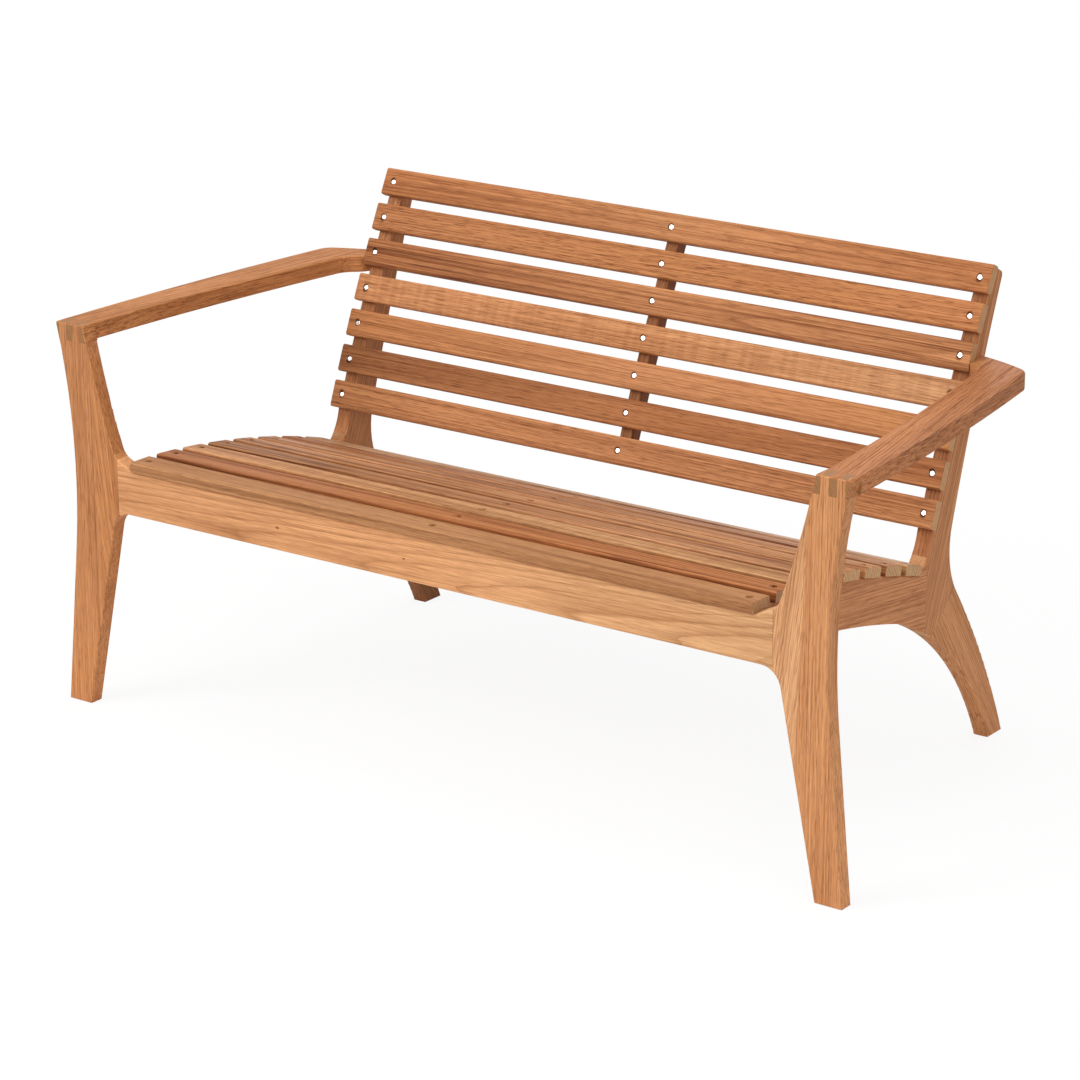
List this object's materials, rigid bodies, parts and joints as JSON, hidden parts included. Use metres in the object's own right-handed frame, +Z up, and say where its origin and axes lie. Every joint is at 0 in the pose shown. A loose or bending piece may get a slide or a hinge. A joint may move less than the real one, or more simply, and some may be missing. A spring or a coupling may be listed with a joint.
{
  "type": "garden bench",
  "caption": "Slatted wooden garden bench with curved seat and back, bowed arms finger-jointed to splayed front legs, and swept rear legs.",
  "frame": {"origin": "on the floor, under the middle of the bench's box in plan", "axes": "+X along the bench to the sitter's left (right as seen from the front), -Y towards the front, +Z up"},
  "size_m": [1.469, 0.7662, 0.7834],
  "materials": {
    "teak_front_and_arms": "planed teak, straight grain along each board, lightly oiled satin",
    "teak_side_frames": "planed teak, grain along each board, lightly oiled satin",
    "teak_seat_slats": "planed teak slats with rounded edges, lightly oiled satin",
    "teak_back_slats": "planed teak slats with rounded edges, lightly oiled satin",
    "hardwood_dowels": "turned hardwood, glued in",
    "stainless_screws": "bright stainless steel"
  },
  "bodies": {
    "root": {"apron_dowels": "hardwood_dowels", "arm_dowels": "hardwood_dowels", "arm_left": "teak_front_and_arms", "arm_return_left": "teak_front_and_arms", "arm_return_right": "teak_front_and_arms", "arm_right": "teak_front_and_arms", "back_batten_middle": "teak_side_frames", "back_slat_1": "teak_back_slats", "back_slat_2": "teak_back_slats", "back_slat_3": "teak_back_slats", "back_slat_4": "teak_back_slats", "back_slat_5": "teak_back_slats", "back_slat_6": "teak_back_slats", "back_slat_7": "teak_back_slats", "back_slat_screws": "stainless_screws", "back_stile_left": "teak_side_frames", "back_stile_right": "teak_side_frames", "bearer_dowels": "hardwood_dowels", "front_apron": "teak_front_and_arms", "front_leg_left": "teak_front_and_arms", "front_leg_right": "teak_front_and_arms", "leg_ear_left": "teak_front_and_arms", "leg_ear_right": "teak_front_and_arms", "rear_leg_dowels": "hardwood_dowels", "rear_leg_left": "teak_side_frames", "rear_leg_right": "teak_side_frames", "rear_rail": "teak_side_frames", "rear_rail_dowels": "hardwood_dowels", "seat_bearer_middle": "teak_side_frames", "seat_slat_1": "teak_seat_slats", "seat_slat_2": "teak_seat_slats", "seat_slat_3": "teak_seat_slats", "seat_slat_4": "teak_seat_slats", "seat_slat_5": "teak_seat_slats", "seat_slat_6": "teak_seat_slats", "seat_slat_7": "teak_seat_slats", "seat_slat_8": "teak_seat_slats", "seat_slat_screws": "stainless_screws", "side_rail_dowels": "hardwood_dowels", "side_rail_left": "teak_side_frames", "side_rail_right": "teak_side_frames", "stile_dowels": "hardwood_dowels"}
  },
  "joints": []
}
